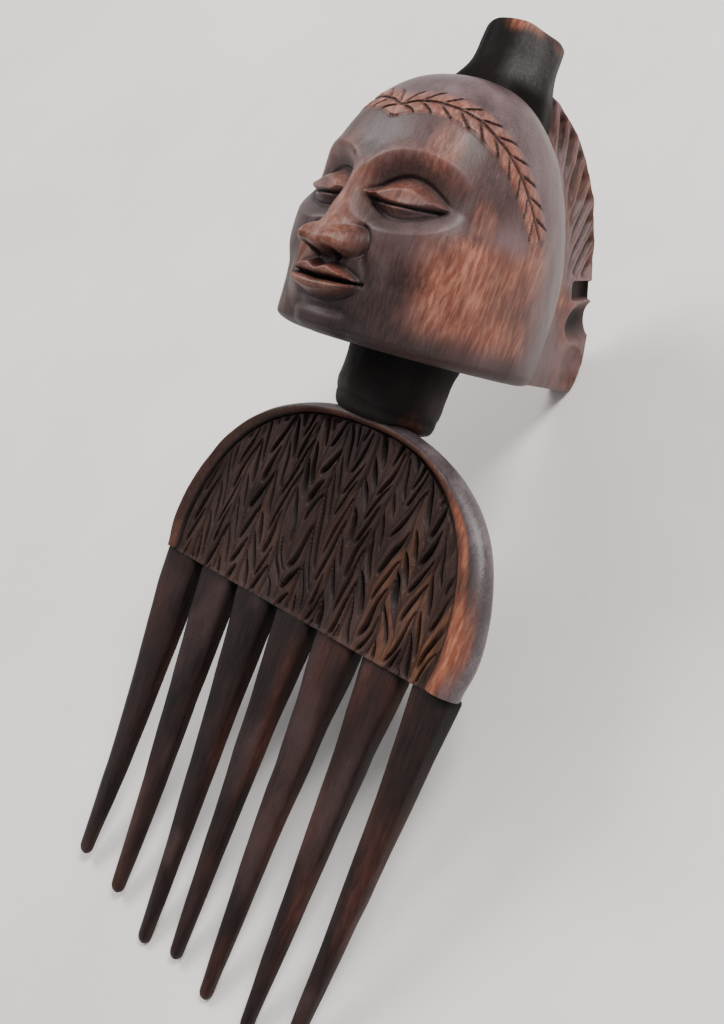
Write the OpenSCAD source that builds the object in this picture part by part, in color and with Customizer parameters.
// Hand-carved wooden hair comb with a head finial, in millimetres.
// The comb lies on its back: tooth tips towards -Y, head towards +Y, the carved front up.
// Everything is drawn in the comb's own frame (x across, y along, z out of the front,
// y = 0 at the tooth roots) and laid down on the ground by lay_down().

/* [Teeth] */
// Number of teeth
tooth_count = 7; // [5:1:9]
// Distance between tooth centres at their roots
tooth_pitch = 12.6; // [11:0.1:14]
// Distance between tooth centres at their tips
tip_pitch = 11.8; // [10.8:0.1:13]
// Length of a nominal tooth
tooth_len = 73.7; // [60:0.1:90]
// Width of a tooth at its root
root_w = 10.8; // [9:0.1:12.4]
// Thickness of a tooth at its root
root_t = 6.6; // [5:0.1:9]
// Width of a tooth at its tip
tip_w = 3.4; // [2.4:0.1:5]

/* [Board] */
// Half width of the board
board_half_w = 44; // [40:0.5:50]
// Height of the board above the tooth roots
board_h = 41; // [34:0.5:46]
// Thickness of the raised rim
board_t = 10; // [9.5:0.5:12]
// Width of the raised rim around the carved panel
rim_w = 4.5; // [3:0.1:6]
// Depth of the panel's surface below the rim
panel_sink = 2; // [1:0.1:3]
// Squareness of the board's rounded shoulders
shoulder_power = 2.5; // [2:0.1:3]

/* [Neck] */
// Diameter of the neck
neck_d = 21.4; // [16:0.1:24]
// Height of the head's underside above the tooth roots, on the neck's axis
head_y = 54.5; // [50:0.5:60]

/* [Head] */
// Half width of the head
head_half_w = 25; // [22:0.5:28]
// Height of the head from its underside to its dome
head_h = 52; // [48:0.5:58]
// Reach of the face in front of the neck's axis
head_front = 25; // [22:0.5:28]
// Reach of the dome behind the neck's axis
head_back = 34; // [30:0.5:40]
// Forward nod of the head
head_tilt = 8; // [0:0.5:12]
// Reach of the crest's lower corner behind the neck's axis
crest_back = 51.5; // [47:0.5:54]
// Thickness of the crest
crest_t = 8; // [6:0.5:10]

/* [Topknot] */
// Diameter of the topknot at its top
knot_d = 15.8; // [13:0.1:18]
// Diameter of the topknot's foot
knot_foot_d = 18.4; // [16:0.1:20]
// Height of the topknot's top above the tooth roots
knot_y = 119; // [115:0.5:124]

/* [Resting pose] */
// Lean of the comb when it lies on its crest and its tooth tips
rest_lean = 19.6; // [17:0.1:20]

/* [Hidden] */
$fn = 96;
overlap = 1;
far = 200;
// How much shorter than nominal each carved tooth is, from left to right
tooth_short = [3.4, 1.8, -2.4, 0, -1.8, -0.8, 0.6, 0, 0];
tooth_names = [for (i = [1:tooth_count]) str("tooth_", i)];
head_parts = ["head", "crest", "topknot", "nose", "upper_lip", "lower_lip",
              "left_eyelid", "right_eyelid", "left_brow_band", "right_brow_band"];

half_t = board_t / 2;
panel_half_w = board_half_w - rim_w;
panel_h = board_h - 2.4;
panel_top = half_t - panel_sink;
neck_r = neck_d / 2;
neck_y = board_h - 0.5;
foot_half_w = 24;
foot_h = 11;
middle = (tooth_count + 1) / 2;

// Leaf cuts of the panel
leaf_columns = 8;
leaf_column_w = 9.4;
leaf_rows = 6;
leaf_row_h = 6.4;
leaf_first_y = 4.2;
leaf_len = 5.2;
leaf_w = 1.5;
leaf_depth = 1.6;
leaf_angle = 24;

// Places on the face
eye_x = 10.5;
eye_y = 26.5;
lid_r = 7.6;
lid_drop = 4.4;
lid_lift = 1.06;
slit_w = 0.7;
nose_y = 16.5;
mouth_y = 9.4;
lip_h = 3.8;
brow_r = 11.4;
brow_w = 3.4;
band_lift = 1.035;
lip_lift = 1.08;
plait_cuts = 8;
crest_top = 58.5;
knot_h = 22;

// Shift of the resting comb that brings the middle of its base to the origin
ground_y = 21.2;
ground_z = 26.2;

// Dark waxed wood, and the lighter wood of the worn places
dark_wood = [0.24, 0.14, 0.11];
worn_wood = [0.42, 0.24, 0.17];

// Puts a shape of the comb's frame into the resting pose, with the origin under its middle
module lay_down() {
    translate([0, -ground_y, ground_z])
        rotate([rest_lean, 0, 0])
            children();
}

// Puts a shape of the head's frame (y = 0 on its underside) into the comb's frame
module on_neck() {
    translate([0, head_y, 0])
        rotate([head_tilt, 0, 0])
            children();
}

// ---- Teeth ----

module tooth(number) {
    from_middle = number - middle;
    len = tooth_len - tooth_short[number - 1];
    sweep = atan(from_middle * (tooth_pitch - tip_pitch) / tooth_len);
    color(dark_wood)
        lay_down()
            difference() {
                translate([from_middle * tooth_pitch, 0, 0])
                    rotate([90, 0, -sweep])
                        scale([1, root_t / root_w, 1]) {
                            translate([0, 0, -overlap])
                                cylinder(h = len - tip_w / 2 + overlap, d1 = root_w, d2 = tip_w);
                            translate([0, 0, len - tip_w / 2])
                                sphere(d = tip_w);
                        }
                translate([-far / 2, 0, -far / 2])
                    cube(far);
            }
}

// ---- Board ----

// Rounded D with its straight side on y = 0
function shoulder(half_w, h) = [
    for (i = [0:48])
        let (a = i * 180 / 48, c = cos(a), s = sin(a))
            [half_w * sign(c) * pow(abs(c), 2 / shoulder_power), h * pow(s, 2 / shoulder_power)]
];

module board_outline() {
    polygon(shoulder(board_half_w, board_h));
}

module panel_outline() {
    polygon(shoulder(panel_half_w, panel_h));
}

// Swelling under the neck, where the board thickens to the neck's diameter
module neck_foot() {
    intersection() {
        translate([0, 0, -neck_r])
            linear_extrude(neck_d)
                board_outline();
        translate([0, board_h, 0])
            scale([foot_half_w / neck_r, foot_h / neck_r, 1])
                sphere(r = neck_r);
    }
}

module rim() {
    color(dark_wood)
        lay_down()
            difference() {
                union() {
                    translate([0, 0, -half_t])
                        linear_extrude(board_t)
                            board_outline();
                    neck_foot();
                }
                translate([0, 0, -far / 2])
                    linear_extrude(far)
                        panel_outline();
                translate([-far / 2, neck_y, -far / 2])
                    cube(far);
            }
}

// One leaf-shaped cut of the wheat-ear pattern, pointing up and out to one side
module leaf_cut(side) {
    rotate([0, 0, side * leaf_angle])
        rotate([90, 0, 0])
            scale([1, leaf_depth / leaf_w, 1])
                cylinder(h = leaf_len, d = leaf_w * 1.4, center = true, $fn = 4);
}

module carved_panel() {
    color(dark_wood)
        lay_down()
            difference() {
                translate([0, 0, -half_t])
                    linear_extrude(board_t - panel_sink)
                        panel_outline();
                for (column = [0:leaf_columns - 1], row = [0:leaf_rows - 1], side = [-1, 1]) {
                    x = (column - (leaf_columns - 1) / 2) * leaf_column_w + side * leaf_column_w / 4;
                    y = leaf_first_y + row * leaf_row_h;
                    if (pow((abs(x) + leaf_w) / panel_half_w, shoulder_power)
                        + pow((y + leaf_len / 2) / panel_h, shoulder_power) < 1)
                        translate([x, y, panel_top])
                            leaf_cut(side);
                }
            }
}

// ---- Neck ----

module neck() {
    color(dark_wood)
        lay_down()
            difference() {
                translate([0, neck_y, 0])
                    rotate([-90, 0, 0])
                        cylinder(h = head_y - neck_y + neck_r, d = neck_d);
                on_neck()
                    translate([-far / 2, 0, -far / 2])
                        cube(far);
            }
}

// ---- Head, in its own frame: y = 0 on the flat underside ----

// Outline of the dome from its axis outwards, for a head of unit half width and unit height
dome_outline = concat(
    [[0, 0], [0.94, 0], [0.985, 0.07]],
    [for (h = [0.25, 0.45, 0.63, 0.77, 0.88, 0.955]) [pow(1 - pow(h, 3), 0.4), h]],
    [[0, 1]]
);

// Front half of a dome that reaches out in front of the neck's axis
module half_dome(reach) {
    rotate([90, 0, 180])
        scale([head_half_w, reach, head_h])
            rotate_extrude(angle = 180)
                polygon(dome_outline);
}

module head_block() {
    half_dome(head_front);
    mirror([0, 0, 1])
        half_dome(head_back);
}

// Depth of the face's surface in front of the neck's axis, at a place on the front
function face_z(x, y) =
    head_front * sqrt(max(0, pow(1 - pow(y / head_h, 3), 0.8) - pow(x / head_half_w, 2)));

// A carved relief on the head, cut back to the head's own surface
module relief() {
    color(worn_wood)
        lay_down()
            on_neck()
                difference() {
                    children();
                    head_block();
                }
}

// An ellipsoid with its half axes
module pebble(place, half_axes) {
    translate(place)
        scale(half_axes)
            sphere(r = 1);
}

module head() {
    color(dark_wood)
        lay_down()
            on_neck()
                head_block();
}

module nose() {
    relief() {
        pebble([0, nose_y + 7, face_z(0, nose_y + 7) - 0.5], [2.4, 10, 3.2]);
        pebble([0, nose_y, face_z(0, nose_y) + 0.6], [3.4, 3, 4]);
        for (side = [-1, 1])
            pebble([side * 3.4, nose_y - 0.4, face_z(3.4, nose_y) - 0.2], [2.3, 2, 2.6]);
    }
}

// The part of a 2D outline, seen from the front, that stands out of the face by a share of its depth
module raised(lift) {
    intersection() {
        scale([lift, 1, lift])
            head_block();
        linear_extrude(far)
            children();
    }
}

// Upper (side = 1) or lower (side = -1) half of the mouth
module lip(side, half_w) {
    relief()
        raised(lip_lift)
            translate([0, mouth_y + side * 0.1])
                intersection() {
                    scale([half_w, lip_h])
                        circle(r = 1);
                    translate([-far / 2, side > 0 ? 0 : -far])
                        square(far);
                }
}

module upper_lip() {
    lip(1, 7.6);
}

module lower_lip() {
    lip(-1, 6.8);
}

// Almond-shaped closed lids with the slit between them
module eyelid(side) {
    relief()
        raised(lid_lift)
            translate([side * eye_x, eye_y])
                difference() {
                    intersection() {
                        translate([0, -lid_drop])
                            circle(r = lid_r);
                        translate([0, lid_drop])
                            circle(r = lid_r);
                    }
                    translate([-side * 1.5, -0.6])
                        square([9.5, slit_w], center = true);
                }
}

module left_eyelid() {
    eyelid(-1);
}

module right_eyelid() {
    eyelid(1);
}

// Raised band of carved leaves that arches over one eye
module brow_band(side) {
    relief()
        raised(band_lift)
            translate([side * eye_x, eye_y - 3])
                intersection() {
                    difference() {
                        circle(r = brow_r + brow_w / 2);
                        circle(r = brow_r - brow_w / 2);
                    }
                    polygon([[0, 0], [side * 40, 12], [side * 40, 40], [-side * 30, 40],
                             [-side * 12, 9]]);
                }
}

module left_brow_band() {
    brow_band(-1);
}

module right_brow_band() {
    brow_band(1);
}

// ---- Crest and topknot ----

// Side outline of the crest: how far back it reaches (x) at each height (y)
crest_outline = concat(
    [[10, 0], [crest_back - 2, 0], [crest_back, 2.5]],
    [for (h = [0.15 : 0.1 : 0.95])
        [crest_back * sqrt(1 - pow(h, 2.4)), h * crest_top]],
    [[10, crest_top * 0.985], [10, 0]]
);

module crest() {
    color(dark_wood)
        lay_down()
            difference() {
                on_neck()
                    difference() {
                        rotate([0, 90, 0])
                            linear_extrude(crest_t, center = true)
                                polygon(crest_outline);
                        head_block();
                        // slanting plait cuts on both sides of the ridge
                        for (side = [-1, 1], k = [0 : plait_cuts - 1]) {
                            h = 0.43 + k * 0.057;
                            translate([side * crest_t / 2, h * crest_top,
                                       1 - crest_back * sqrt(1 - pow(h, 2.4))])
                                rotate([-35 - 90 * (h - 0.4), 0, 0])
                                    cylinder(h = 7, d = 1.8, center = true);
                        }
                        // broad scallops below them
                        for (side = [-1, 1], h = [0.16, 0.31])
                            translate([side * (crest_t / 2 + 2.4), h * crest_top, 3 - crest_back])
                                sphere(d = 8);
                    }
                knot_block();
            }
}

// Turned peg standing along the comb's own axis, with a rounded top edge and a spreading foot
module knot_block() {
    translate([0, knot_y, 0])
        rotate([90, 0, 0])
            rotate_extrude()
                polygon([[0, 0], [knot_d / 2 - 2, 0], [knot_d / 2 - 0.5, 0.8], [knot_d / 2, 2.4],
                         [knot_d / 2 + 0.2, 7], [knot_foot_d / 2, 13], [knot_foot_d / 2 + 1.5, knot_h],
                         [0, knot_h]]);
}

module topknot() {
    color(dark_wood)
        lay_down()
            difference() {
                knot_block();
                on_neck()
                    head_block();
            }
}

for (i = [1 : tooth_count])
    tooth(i);
rim();
carved_panel();
neck();
head();
crest();
topknot();
nose();
upper_lip();
lower_lip();
left_eyelid();
right_eyelid();
left_brow_band();
right_brow_band();
